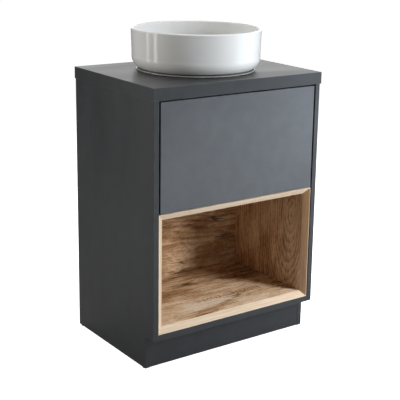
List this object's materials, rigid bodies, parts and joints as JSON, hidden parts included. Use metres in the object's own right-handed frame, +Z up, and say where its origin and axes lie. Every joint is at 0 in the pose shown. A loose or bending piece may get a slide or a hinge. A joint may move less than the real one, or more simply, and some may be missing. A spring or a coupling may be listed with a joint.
{
  "type": "vessel sink on vanity",
  "caption": "Round ceramic vessel basin on a floor-standing 600 mm vanity with a push-open drawer over an oak-lined open niche.",
  "frame": {"origin": "on the floor, under the middle of the worktop", "axes": "+X to the user's right when facing the vanity, +Y to the wall behind it, +Z up"},
  "size_m": [0.6, 0.45, 0.966],
  "materials": {
    "slate_laminate": "matt slate laminate on chipboard",
    "carcass_board": "melamine-faced chipboard",
    "oak_finish": "oak-effect textured laminate",
    "drawer_board": "melamine-faced board",
    "glazed_white": "gloss glaze",
    "clear_silicone": "satin",
    "polished_chrome": "polished",
    "black_rubber": "matt",
    "nut_brass": "machined",
    "white_plastic": "moulded",
    "dark_plastic": "moulded",
    "zinc_casting": "zinc die casting",
    "zinc_steel": "bright zinc plated"
  },
  "bodies": {
    "cabinet": {"basin": "glazed_white", "basin_sealant": "clear_silicone", "bottom_panel": "slate_laminate", "cam_locks": "zinc_casting", "glides": "dark_plastic", "lower_back_rail": "carcass_board", "niche_back": "oak_finish", "niche_board_bottom": "oak_finish", "niche_board_left": "oak_finish", "niche_board_right": "oak_finish", "niche_board_top": "oak_finish", "outer_rail_left": "zinc_steel", "outer_rail_right": "zinc_steel", "outer_rail_screws": "zinc_steel", "plinth_board": "slate_laminate", "plug_cartridge": "nut_brass", "push_open_units": "dark_plastic", "side_panel_left": "slate_laminate", "side_panel_right": "slate_laminate", "top_back_rail": "carcass_board", "top_front_rail": "carcass_board", "trap_body": "white_plastic", "trap_body_nut": "white_plastic", "trap_body_seal": "black_rubber", "trap_cup": "white_plastic", "trap_cup_seal": "black_rubber", "trap_inlet_nut": "white_plastic", "trap_inlet_tube": "white_plastic", "trap_inlet_washer": "black_rubber", "trap_outlet_nut": "white_plastic", "trap_outlet_seal": "black_rubber", "waste_body": "polished_chrome", "waste_flange_seal": "black_rubber", "waste_nut": "nut_brass", "waste_washer": "black_rubber", "worktop": "slate_laminate", "worktop_brackets": "zinc_steel", "worktop_screws": "zinc_steel"},
    "drawer": {"drawer_front": "slate_laminate", "drawer_front_screws": "zinc_steel", "inner_rail_screws": "zinc_steel", "inner_rail_left": "zinc_steel", "inner_rail_right": "zinc_steel", "drawer_side_left": "drawer_board", "drawer_side_right": "drawer_board", "drawer_box_front": "drawer_board", "drawer_back_left": "drawer_board", "drawer_back_right": "drawer_board", "recess_wall_left": "drawer_board", "recess_wall_right": "drawer_board", "recess_wall_front": "drawer_board", "drawer_floor": "drawer_board"},
    "mid_rail_left": {"mid_rail_left": "zinc_steel"},
    "mid_rail_right": {"mid_rail_right": "zinc_steel"},
    "outer_cage_left": {"outer_ball_cage_left": "zinc_steel"},
    "outer_cage_right": {"outer_ball_cage_right": "zinc_steel"},
    "inner_cage_left": {"inner_ball_cage_left": "zinc_steel"},
    "inner_cage_right": {"inner_ball_cage_right": "zinc_steel"},
    "plug": {"waste_plug": "polished_chrome", "plug_seal": "black_rubber"}
  },
  "joints": [
    {"name": "drawer_slide", "type": "slide", "parent": "cabinet", "child": "drawer", "axis": [0, -1, 0], "range_m": [-0.0025, 0.34]},
    {"name": "mid_rail_left_slide", "type": "slide", "parent": "cabinet", "child": "mid_rail_left", "axis": [0, -1, 0], "range_m": [-0.00125, 0.17]},
    {"name": "outer_cage_left_slide", "type": "slide", "parent": "cabinet", "child": "outer_cage_left", "axis": [0, -1, 0], "range_m": [-0.00063, 0.085]},
    {"name": "inner_cage_left_slide", "type": "slide", "parent": "cabinet", "child": "inner_cage_left", "axis": [0, -1, 0], "range_m": [-0.00187, 0.255]},
    {"name": "mid_rail_right_slide", "type": "slide", "parent": "cabinet", "child": "mid_rail_right", "axis": [0, -1, 0], "range_m": [-0.00125, 0.17]},
    {"name": "outer_cage_right_slide", "type": "slide", "parent": "cabinet", "child": "outer_cage_right", "axis": [0, -1, 0], "range_m": [-0.00063, 0.085]},
    {"name": "inner_cage_right_slide", "type": "slide", "parent": "cabinet", "child": "inner_cage_right", "axis": [0, -1, 0], "range_m": [-0.00187, 0.255]},
    {"name": "plug_lift", "type": "slide", "parent": "cabinet", "child": "plug", "axis": [0, 0, 1], "range_m": [0, 0.008]}
  ],
  "couplings": [
    {"joint": "mid_rail_left_slide", "follows": "drawer_slide", "ratio": 0.5},
    {"joint": "outer_cage_left_slide", "follows": "drawer_slide", "ratio": 0.25},
    {"joint": "inner_cage_left_slide", "follows": "drawer_slide", "ratio": 0.75},
    {"joint": "mid_rail_right_slide", "follows": "drawer_slide", "ratio": 0.5},
    {"joint": "outer_cage_right_slide", "follows": "drawer_slide", "ratio": 0.25},
    {"joint": "inner_cage_right_slide", "follows": "drawer_slide", "ratio": 0.75}
  ]
}
